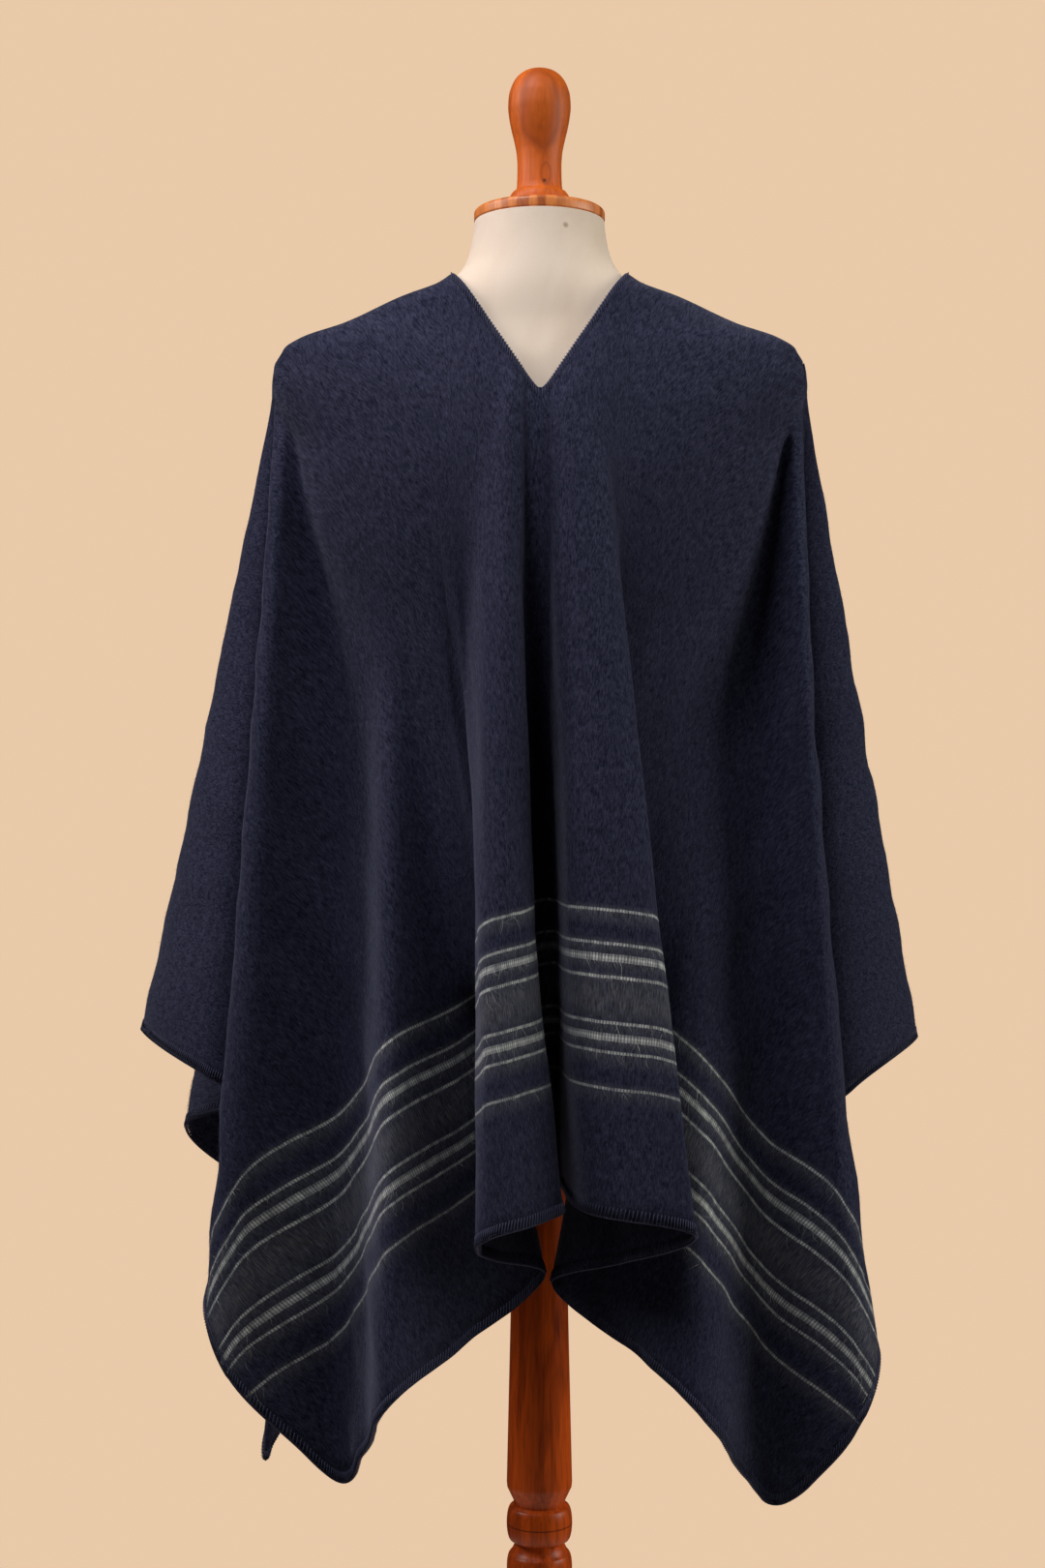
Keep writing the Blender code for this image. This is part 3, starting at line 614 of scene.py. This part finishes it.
bpy.ops.object.shade_smooth()
solid = cloth.modifiers.new("wall", "SOLIDIFY")
solid.thickness = poncho["wall"]
solid.offset = 0
bpy.ops.object.modifier_apply(modifier="wall")
cloth.data.materials.append(woolFinish)
print("cloth made", len(cloth.data.polygons), "faces")


# place, normal and cloth coordinates anywhere on the rippled cloth
def sampleCloth(g, t, sideStep=0.0015, downStep=0.004):
    g = np.asarray(g, dtype=float)
    point = np.empty(g.shape + (3,))
    mark = np.empty(g.shape + (2,))
    normal = np.empty(g.shape + (3,))
    for front in (True, False):
        here = (g < loop / 2) == front
        if not here.any():
            continue
        gh, th = g[here], t[here]
        p, m = clothPoint(gh, th, front)
        a, _ = clothPoint(np.clip(gh - sideStep, *halfLoop(front)), th, front)
        b, _ = clothPoint(np.clip(gh + sideStep, *halfLoop(front)), th, front)
        up, _ = clothPoint(gh, np.clip(th - downStep, 1e-4, 1), front)
        dn, _ = clothPoint(gh, np.clip(th + downStep, 0, 1), front)
        n = unit(np.cross(dn - up, b - a))
        point[here] = p + n * clothOffset(p, m, th)[..., None]
        mark[here] = m
        normal[here] = n
    return point, normal, mark


# the normals' sign that points out of the cloth, tried on its left front panel
tried = sampleCloth(np.array([edgePlace("front", -0.6)]), np.array([0.5]))[1]
outward = -1.0 if tried[0][1] > 0 else 1.0

# sewing along every cut edge
edging = {
    "pitch": 0.0031,  # from one stitch to the next
    "reach": 0.0085,  # how far in from the edge a stitch goes
    "slant": 0.0022,
    "thread": 0.00042,  # radius
    "roll": 0.0011,  # radius of the rolled edge
    "rollSides": 6,
    "wrap": 0.0009,  # how far the thread stands off where it wraps the edge
    "aside": (0.31, -0.22, 0.92),  # no thread runs this way
}


# the ends of a fold in the flat cloth, on the neck line and on the edge
def flatEnds(g, front):
    return (*startLine(foldStartAt(g, front), front)[:2], *edgeCloth(g))


def downLength(g, front):
    u0, v0, u1, v1 = flatEnds(g, front)
    return np.hypot(u1 - u0, v1 - v0)


# places along the outer edge, an even step apart in the cloth
def outerPlaces(step):
    return np.arange(0, loop - step / 2, step)


# places along the neck edge, an even step apart, in front and behind
def neckPlaces(step):
    found = []
    for front in (True, False):
        g = alongHalf(12000, front)
        s = foldStartAt(g, front)
        u, v = startLine(s, front)[:2]
        run = np.concatenate([[0], np.cumsum(np.hypot(np.diff(u), np.diff(v)) * (np.abs(s[1:]) < 1))])
        found.append(np.interp(np.arange(step / 2, run[-1], step), run, g))
    return found


# a point a little way in from the edge, raised off the cloth's face
def edgePoint(g, inset, raised, neck):
    middle = loop / 2
    length = np.where(g < middle, downLength(np.minimum(g, middle), True),
                      downLength(np.maximum(g, middle), False))
    t = inset / length if neck else 1 - inset / length
    point, normal, mark = sampleCloth(g, t)
    return point + normal * raised * outward, mark


# a mesh of thin tubes, each through its own row of points, open with capped ends or closed on itself
def tubes(paths, radius, uv, sides=4, closed=False):
    count, deep = paths.shape[:2]
    along = np.roll(paths, -1, 1) - np.roll(paths, 1, 1) if closed else np.gradient(paths, axis=1)
    along = unit(along)
    side = unit(np.cross(along, np.array(edging["aside"])))
    up = np.cross(along, side)
    turn = np.arange(sides)[:, None] * 2 * math.pi / sides
    rings = paths[:, :, None] + radius * (side[:, :, None] * np.cos(turn) + up[:, :, None] * np.sin(turn))
    spans = np.arange(deep if closed else deep - 1)
    i, j, k = np.meshgrid(np.arange(count), spans, np.arange(sides), indexing="ij")
    here, there = (i * deep + j) * sides, (i * deep + (j + 1) % deep) * sides
    after = (k + 1) % sides
    faces = np.stack([here + k, here + after, there + after, there + k], -1).reshape(-1, 4).tolist()
    if not closed:
        ends = np.arange(count)[:, None] * deep * sides + np.arange(sides)[None]
        faces += np.concatenate([ends[:, ::-1], ends + (deep - 1) * sides]).tolist()
    made = meshFrom("threads", rings, faces)
    setUv(made, np.broadcast_to(uv[:, :, None], (count, deep, sides, 2)).reshape(-1, 2))
    return made


# each stitch comes slanting to the edge on the face, wraps it and goes back behind
def stitchPaths(g, neck):
    off = poncho["wall"] / 2 + edging["thread"] * 0.6
    reach, slant, wrap = edging["reach"], edging["slant"], edging["wrap"]
    face = [(reach, off, slant), (reach * 0.5, off + wrap / 3, slant * 0.5), (0.0008, off + wrap, 0)]
    behind = [(inset, -raised, -shift) for inset, raised, shift in face[::-1]]
    points = []
    for inset, raised, shift in face + behind:
        at = np.clip(g + shift, 0, loop - 1e-6)
        p, mark = edgePoint(at, np.full(g.shape, inset), raised, neck)
        points.append(p)
    return np.stack(points, 1), mark


# several meshes made one, with one finish
def joinAll(name, parts, look):
    bpy.ops.object.select_all(action="DESELECT")
    for part in parts:
        part.select_set(True)
    bpy.context.view_layer.objects.active = parts[0]
    bpy.ops.object.join()
    made = bpy.context.object
    made.name = made.data.name = name
    made.data.materials.clear()
    made.data.materials.append(look)
    bpy.ops.object.shade_smooth()
    return made


# the yarn that lies round the rim of a cut edge
def rimTube(g, neck):
    path, mark = edgePoint(g, np.full(g.shape, 0.0002), 0.0, neck)
    return tubes(path[None], edging["roll"], mark[None], edging["rollSides"], closed=True)


stitchFinish = Shader("overlock thread")
stitchFinish.use({"Base Color": (*finish["stitch"], 1), "Roughness": 0.8, "Sheen Weight": 0.1,
                  "Sheen Tint": wool["sheenTint"]})

path, mark = stitchPaths(outerPlaces(edging["pitch"]), False)
sewn = [tubes(path, edging["thread"], mark[:, None])]
for g in neckPlaces(edging["pitch"]):
    path, mark = stitchPaths(g, True)
    sewn.append(tubes(path, edging["thread"], mark[:, None]))
sewn.append(rimTube(outerPlaces(0.006), False))
sewn.append(rimTube(np.concatenate(neckPlaces(0.004)), True))
overlock = joinAll("overlockEdge", sewn, stitchFinish.material)
print("edges sewn", len(overlock.data.polygons), "faces")


# hairs brushed up from the wool: long ones bend once, short ones are single blades
nap = {
    "longHairs": 44000,  # on each half of the cloth
    "longLength": 0.0105,
    "shortHairs": 170000,
    "shortLength": 0.005,
    "width": 0.00017,
    "standing": 0.05,  # share that stands well off the cloth
    "fluff": 0.24,  # the same on the shoulders, above this height
    "shoulder": 1.365,
    "longSwing": 0.65,  # how far it turns from straight down, in radians
    "shortSwing": 1.0,
    "bend": 0.5,
    "tallest": 0.005,  # length of a standing hair at the most
    "standLift": (0.3, 0.8),  # rise for its length
    "lieLift": (0.02, 0.12),
    "rooted": 0.0002,  # depth of its root in the cloth
}


# places spread evenly over the flat cloth's area, in front or behind
def spreadPlaces(random, count, front):
    many = count * 4
    low, high = halfLoop(front)
    g = random.uniform(low, high, many)
    t = random.uniform(0.003, 0.997, many)
    u0, v0, u1, v1 = flatEnds(g, front)
    n0, m0, n1, m1 = flatEnds(np.clip(g + 0.002, low, high), front)
    acrossU = (n0 + (n1 - n0) * t) - (u0 + (u1 - u0) * t)
    acrossV = (m0 + (m1 - m0) * t) - (v0 + (v1 - v0) * t)
    area = np.abs((u1 - u0) * acrossV - (v1 - v0) * acrossU)
    keep = np.flatnonzero(random.uniform(0, np.quantile(area, 0.985), many) < area)[:count]
    return g[keep], t[keep]


# a hair's points follow the cloth's face from its root, a step along and aside, and stand off it
def brushUp(name, front, seed, long):
    random = np.random.default_rng(seed)
    kind = "long" if long else "short"
    g, t = spreadPlaces(random, nap[kind + "Hairs"], front)
    low, high = halfLoop(front)
    count, step, least = len(g), 0.004, 0.05
    root, normal, mark = sampleCloth(g, t)
    perDown = (sampleCloth(g, np.clip(t + step, 0, 1))[0] - root) / step
    perSide = (sampleCloth(np.clip(g + step, low, high), t)[0] - root) / step
    downRate = np.maximum(np.linalg.norm(perDown, axis=-1), least)
    slide = np.sum(perSide * perDown, -1) / downRate ** 2
    sideRate = np.maximum(np.linalg.norm(perSide - perDown * slide[:, None], axis=-1), least)
    swing = random.normal(0, nap[kind + "Swing"], count)
    length = nap[kind + "Length"] * random.lognormal(-0.1, 0.35, count)
    standShare = np.where(root[:, 2] > nap["shoulder"], nap["fluff"], nap["standing"])
    stands = random.uniform(0, 1, count) < standShare
    length = np.where(stands, np.minimum(length, nap["tallest"]), length)
    lift = np.where(stands, random.uniform(*nap["standLift"], count), random.uniform(*nap["lieLift"], count))

    # the point a reach further along the cloth's face at an angle from straight down
    def onward(reach, angle, fromG, fromT, raised):
        stepG = reach * np.sin(angle) / sideRate
        stepT = reach * np.cos(angle) / downRate - stepG * slide
        nextG = np.clip(fromG + stepG, low, high)
        nextT = np.clip(fromT + stepT, 0, 1)
        point, facing, _ = sampleCloth(nextG, nextT)
        return point + facing * outward * (poncho["wall"] / 2 + raised)[:, None], nextG, nextT

    start = root + normal * outward * (poncho["wall"] / 2 - nap["rooted"])
    reach = length * 0.5 if long else length
    first, midG, midT = onward(reach, swing, g, t, lift * reach)
    wide = unit(np.cross(first - start, normal), 1e-9) * nap["width"] / 2
    if long:
        bend = swing + random.normal(0, nap["bend"], count)
        tip, _, _ = onward(length * 0.5, bend, midG, midT, lift * length * 0.6)
        points = np.stack([start - wide, start + wide, first + wide, first - wide, tip], 1)
        at = np.arange(count)[:, None] * 5
        faces = (at + [0, 1, 2, 3]).tolist() + (at + [3, 2, 4]).tolist()
    else:
        points = np.stack([start - wide, start + wide, first], 1)
        faces = np.arange(count * 3).reshape(-1, 3).tolist()
    made = meshFrom(name, points, faces)
    setUv(made, np.repeat(mark, points.shape[1], 0))
    made.data.materials.append(hairFinish)
    return made


hairs = [brushUp("longNapFront", True, 11, True), brushUp("longNapBack", False, 12, True),
         brushUp("shortNapFront", True, 13, False), brushUp("shortNapBack", False, 14, False)]
print("hairs made", sum(len(piece.data.polygons) for piece in hairs), "faces")


# the cotton cover of the form
def coverShader():
    s = Shader("cream cotton cover")
    place, _ = s.place()
    weave = s.noise(place, (900, 900, 900), 1.0)
    patches = s.noise(place, (14, 14, 8), 4.0, 0.6, 0.8)
    colour = s.mix(s.between(patches, 0.38, 0.72), finish["coverLight"], finish["coverDark"])
    stained = s.times(s.spot(place, stand["stain"], 0.003, 0.0012), 0.7)
    colour = s.mix(stained, colour, finish["stain"])
    s.use({"Base Color": colour, "Roughness": 0.92, "Specular IOR Level": 0.2})
    s.bump(weave, 0.25, 0.0006)
    return s.material


# cells per metre of the wood's fine and broad grain
uprightGrain = ((520, 520, 22), (55, 55, 9))
lyingGrain = ((22, 520, 520), (4, 40, 40))


# turned wood; flames are patches with dark rims: x, z, half width, half height
def woodShader(name, tone, roughness, cells=uprightGrain, flames=(), rings=(), knot=None):
    s = Shader(name)
    place, (across, _, height) = s.place()
    fine = s.noise(place, cells[0], 3.0, 0.6, 0.3)
    broad = s.noise(place, cells[1], 3.0, 0.55, 0.9)
    wobble = s.sway(s.noise(place, (90, 90, 40)), 0.5)
    share = s.math("ADD", s.times(s.between(fine, 0.42, 0.68), 0.42),
                   s.times(s.between(broad, 0.42, 0.66), 0.45 if flames else 0.7), clamp=True)
    for x, z, wide, high in flames:
        sideways = s.math("DIVIDE", s.math("SUBTRACT", across, x), wide)
        upward = s.math("DIVIDE", s.math("SUBTRACT", height, z), high)
        away = s.math("SQRT", s.scaled(sideways, sideways, s.times(upward, upward)))
        away = s.math("ADD", away, wobble)
        rim = s.scaled(s.between(away, 0.45, 0.98), 0.6, 0.28)
        figure = s.scaled(s.math("SINE", s.times(away, 26.0)), 0.05, rim)
        share = s.math("MAXIMUM", share, s.times(s.between(away, 1.08, 0.86), figure))
    colour = s.mix(share, finish[tone + "Light"], finish[tone + "Dark"])
    for z, half, strength in rings:
        near = s.math("ABSOLUTE", s.math("SUBTRACT", height, z))
        colour = s.mix(s.times(s.between(near, half, half * 0.3), strength), colour, finish["scored"])
    if knot:
        colour = s.mix(s.times(s.spot(place, knot, 0.0022, 0.0009), 0.75), colour, finish["scored"])
    s.use({"Base Color": colour, "Roughness": roughness, "Specular IOR Level": 0.3,
           "Coat Weight": 0.04, "Coat Roughness": 0.40})
    s.bump(fine, 0.12, 0.0008)
    return s.material


# the cap is cut from blocks whose end grain alternates round its rim
def capShader():
    s = Shader("block cut cap wood")
    place, (x, y, _) = s.place()
    angle = s.math("ARCTAN2", y, x)
    wobble = s.noise(place, (26, 26, 26))
    blocks = s.math("SINE", s.scaled(angle, 22.0, s.times(wobble, 7.0)))
    patches = s.noise(place, (16, 16, 16), 1.0)
    fine = s.noise(place, (500, 500, 120), 3.0, 0.6)
    share = s.times(s.between(blocks, -0.3, 0.4), s.between(patches, 0.36, 0.6))
    share = s.math("ADD", s.times(share, 0.65), s.times(s.between(fine, 0.4, 0.7), 0.35), clamp=True)
    colour = s.mix(share, finish["capLight"], finish["capDark"])
    s.use({"Base Color": colour, "Roughness": 0.42, "Coat Weight": 0.15, "Coat Roughness": 0.3})
    return s.material


# a closed piece from rings of points, each ring the same count, ends filled
def ringPiece(name, rings, look, sharp):
    count, sides = rings.shape[:2]
    lower = np.arange((count - 1) * sides).reshape(-1, sides)
    after = np.roll(lower, -1, 1)
    faces = np.stack([lower, after, after + sides, lower + sides], -1).reshape(-1, 4).tolist()
    faces += [list(range(sides))[::-1], list(range((count - 1) * sides, count * sides))]
    made = meshFrom(name, rings, faces)
    made.data.materials.append(look)
    made.data.shade_smooth()
    made.data.set_sharp_from_angle(angle=math.radians(sharp))
    return made


# a turned piece from its profile, radius and height, from the bottom up
def turnedPiece(name, profile, look, sharp=38):
    turn = np.arange(stand["sides"]) * 2 * math.pi / stand["sides"]
    radius, height = np.array(profile).T[:, :, None]
    rings = np.stack([radius * np.cos(turn), radius * np.sin(turn), np.repeat(height, len(turn), 1)], -1)
    return ringPiece(name, rings, look, sharp)


# a smoother profile through its rows, with more rows between them
def finerProfile(rows, extra):
    radius, height = np.array(rows).T
    along = np.concatenate([[0], np.cumsum(np.hypot(np.diff(radius), np.diff(height)))])
    at = np.unique(np.concatenate([along, np.linspace(0, along[-1], extra)]))
    return list(zip(steadyCurve(along, radius, at), steadyCurve(along, height, at)))


# half a ring's round, from the bottom up
def beadRows(radius, depth, top, bottom, count=13):
    turn = np.linspace(0, math.pi, count)
    half = (top - bottom) / 2
    return [(radius - depth * (1 - math.sin(a)), bottom + half * (1 - math.cos(a))) for a in turn]


# the form and its stand, in metres
stand = {
    "sides": 128,
    "gap": 0.0003,  # between pieces that meet
    "neckTop": 1.5137,
    "shoulders": 1.33,  # the form's rings lie closer above this
    "formSides": 120,
    "evened": 0.014,  # the curves between the form's rows are evened over this
    "stain": (0.0207, -0.0525, 1.499),
    "capTop": 1.5238,
    "capRadius": 0.054,
    "capEdge": 0.0025,
    "finialTop": 1.64,
    "waist": 1.5604,
    "knot": (0.004, -0.018, 1.544),
    "baseTop": 0.034,
}
# the grip: share of the way from the top down to the waist, radius
gripRows = [
    (0.0, 0.0055), (0.012, 0.01), (0.045, 0.0152), (0.1, 0.0197), (0.18, 0.0232), (0.28, 0.0254),
    (0.39, 0.0259), (0.5, 0.025), (0.62, 0.0232), (0.75, 0.0207), (0.88, 0.0188), (1.0, 0.0182)]
# flames in its wood: x, z, half width, half height
flameRows = [(0.0008, 1.6035, 0.0175, 0.0385), (0.005, 1.55, 0.0046, 0.0105)]
# its collar: radius, height above the cap
collarRows = [(0.025, 0.0), (0.025, 0.008), (0.0242, 0.0115), (0.0222, 0.0142), (0.0196, 0.0155)]
# the post's rings: radius, depth of the round, top, bottom
postBeads = [
    (0.028, 0.004, 0.142, 0.118), (0.027, 0.003, 0.416, 0.392), (0.0271, 0.0036, 0.4545, 0.4265)]
# scored lines: height, half width, strength
postRings = [(0.4405, 0.0006, 0.9), (0.404, 0.0006, 0.9), (0.13, 0.0006, 0.9)]


# the padded form's rings from its underside up to the neck's top
def formRings():
    low, middle, high = formRows[0][0], stand["shoulders"], formRows[-1][0]
    heights = np.concatenate([np.linspace(low, middle, 60), np.linspace(middle + 0.005, high, 50)])
    turn = np.linspace(0, 2 * math.pi, stand["formSides"], endpoint=False)
    c, sn = np.cos(turn), np.sin(turn)
    rings = []
    for z in heights:
        ease = min(stand["evened"], z - low, high - z)
        near = [formHalf(z + step) for step in np.linspace(-ease, ease, 7)]
        wide, ahead, behind, power = np.mean(np.array(near, dtype=float), 0)
        x = wide * np.sign(c) * np.abs(c) ** (2 / power)
        y = np.where(sn < 0, ahead, behind) * np.sign(sn) * np.abs(sn) ** (2 / power)
        rings.append(np.stack([x, y, np.full(len(turn), z)], -1))
    return np.array(rings)


form = ringPiece("formCover", formRings(), coverShader(), 50)

low, high = stand["neckTop"] + stand["gap"], stand["capTop"]
edge, reach = stand["capEdge"], stand["capRadius"]
curve = np.linspace(0, math.pi / 2, 7)
capRows = [(reach - edge * 0.5 * (1 - math.sin(a)), low + edge * 0.6 * (1 - math.cos(a))) for a in curve]
capRows += [(reach - edge * 1.6 * (1 - math.cos(a)), high - edge * 1.4 * (1 - math.sin(a))) for a in curve]
cap = turnedPiece("neckCap", capRows, capShader())

crown = stand["finialTop"] - stand["waist"]
base = stand["capTop"] + stand["gap"]
grip = [(radius, stand["finialTop"] - crown * share) for share, radius in gripRows[::-1]]
finialProfile = [(radius, base + height) for radius, height in collarRows]
finialProfile += finerProfile([(0.0192, base + 0.0165), (0.0186, base + 0.02)] + grip, 70)
finialLook = woodShader("flamed finial wood", "finial", 0.52, flames=flameRows, knot=stand["knot"])
finial = turnedPiece("finialGrip", finialProfile, finialLook)

postProfile = [(0.04, stand["baseTop"] + stand["gap"]), (0.04, 0.0403), (0.033, 0.07),
               (0.025, 0.1), (0.0225, 0.112), (0.0225, 0.116)]
postProfile += beadRows(*postBeads[0])
postProfile += finerProfile([(0.0222, 0.144), (0.0222, 0.148), (0.024, 0.24), (0.0268, 0.37)], 12)
postProfile += [(0.0262, 0.379), (0.021, 0.386), (0.021, 0.39)] + beadRows(*postBeads[1])
postProfile += [(0.0222, 0.419), (0.0206, 0.4225), (0.0206, 0.4255)] + beadRows(*postBeads[2])
postProfile += [(0.0213, 0.456), (0.0213, 0.459), (0.0266, 0.47), (0.027, 0.474), (0.024, 0.604),
                (0.0192, formRows[0][0] - stand["gap"])]
post = turnedPiece("turnedPost", postProfile, woodShader("dark post wood", "post", 0.36, rings=postRings))

baseProfile = [(0.1985, 0.0), (0.2, 0.002), (0.2, 0.012), (0.196, 0.018), (0.188, 0.0225),
               (0.176, 0.024), (0.064, 0.026), (0.06, 0.0325), (0.056, stand["baseTop"])]
foot = turnedPiece("roundBase", baseProfile, woodShader("dark base wood", "base", 0.4, lyingGrain), 30)

# each piece of the stand, the node that it replaces and its finish's slot
standPieces = [
    (form, "form_torso", "cream_cover"), (cap, "neck_cap", "cap_wood"), (finial, "finial", "finial_wood"),
    (post, "post", "post_wood"), (foot, "base", "base_wood")]
for piece, node, slot in standPieces:
    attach(piece, "root")
    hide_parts(node)
print("form and stand made")

for piece in (cloth, overlock, *hairs):
    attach(piece, "root")
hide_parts("poncho")

stage = bpy.context.scene
# floor, light and camera
studio = {
    "floorRadius": 0.75,
    "floorTop": -0.0005,
    "floor": (0.8, 0.74, 0.66, 1),
    "backdrop": (0.81, 0.585, 0.395, 1),
    "ambient": (0.012, 0.011, 0.01, 1),
    "aim": (0, 0, 1.05),
    "viewPoint": (-0.014, -1.84, 1.05),
    "focalPixels": 2300,  # focal length in pixels of an image this many pixels high
    "imageHeight": 1620,
    "sensorHeight": 36,
}
# soft lights: place, size, power, colour
lampRows = [
    ("nearLight", (-0.7, -0.9, 2.75), 0.8, 20, (1.0, 0.96, 0.97)),
    ("keyLight", (-1.0, -1.35, 3.15), 0.9, 5, (1.0, 0.96, 0.92)),
    ("leftLight", (-2.1, -0.4, 2.5), 1.2, 35, (1.0, 0.9, 0.84)),
    ("rightLight", (2.6, -0.5, 1.7), 1.6, 42, (1.0, 0.95, 0.86)),
    ("frontLight", (1.2, -1.3, 3.0), 0.9, 10, (1.0, 0.98, 0.88)),
]
bpy.ops.object.select_all(action="DESELECT")
bpy.ops.mesh.primitive_circle_add(vertices=128, radius=studio["floorRadius"], fill_type="NGON",
                                  location=(0, 0, studio["floorTop"]))
floor = bpy.context.object
floor.name = "floor"
floorFinish = Shader("pale floor")
floorFinish.use({"Base Color": studio["floor"], "Roughness": 0.9})
floor.data.materials.append(floorFinish.material)

# the camera sees the backdrop, the pieces get only the faint ambient light
world = bpy.data.worlds.new("studio")
stage.world = world
world.use_nodes = True
worldNodes, worldLinks = world.node_tree.nodes, world.node_tree.links
background = worldNodes["Background"]
seen = worldNodes.new("ShaderNodeLightPath")
tone = worldNodes.new("ShaderNodeMix")
tone.data_type = "RGBA"
tone.inputs[6].default_value = studio["ambient"]
tone.inputs[7].default_value = studio["backdrop"]
worldLinks.new(seen.outputs["Is Camera Ray"], tone.inputs[0])
worldLinks.new(tone.outputs[2], background.inputs[0])


# an object of the stage in the scene
def staged(name, data, place):
    made = bpy.data.objects.new(name, data)
    stage.collection.objects.link(made)
    made.location = place
    return made


for name, place, size, power, colour in lampRows:
    lamp = bpy.data.lights.new(name, "AREA")
    lamp.size = size
    lamp.energy = power
    lamp.color = colour
    light = staged(name, lamp, place)
    light.rotation_euler = (Vector(studio["aim"]) - Vector(place)).to_track_quat("-Z", "Y").to_euler()
    light.visible_camera = False
stage.view_settings.view_transform = "Standard"

camera = bpy.data.cameras.new("view")
camera.sensor_fit = "VERTICAL"
camera.sensor_height = studio["sensorHeight"]
camera.lens = studio["focalPixels"] * studio["sensorHeight"] / studio["imageHeight"]
viewer = staged("view", camera, studio["viewPoint"])
viewer.rotation_euler = (math.pi / 2, 0, 0)
stage.camera = viewer
print("light and camera set")
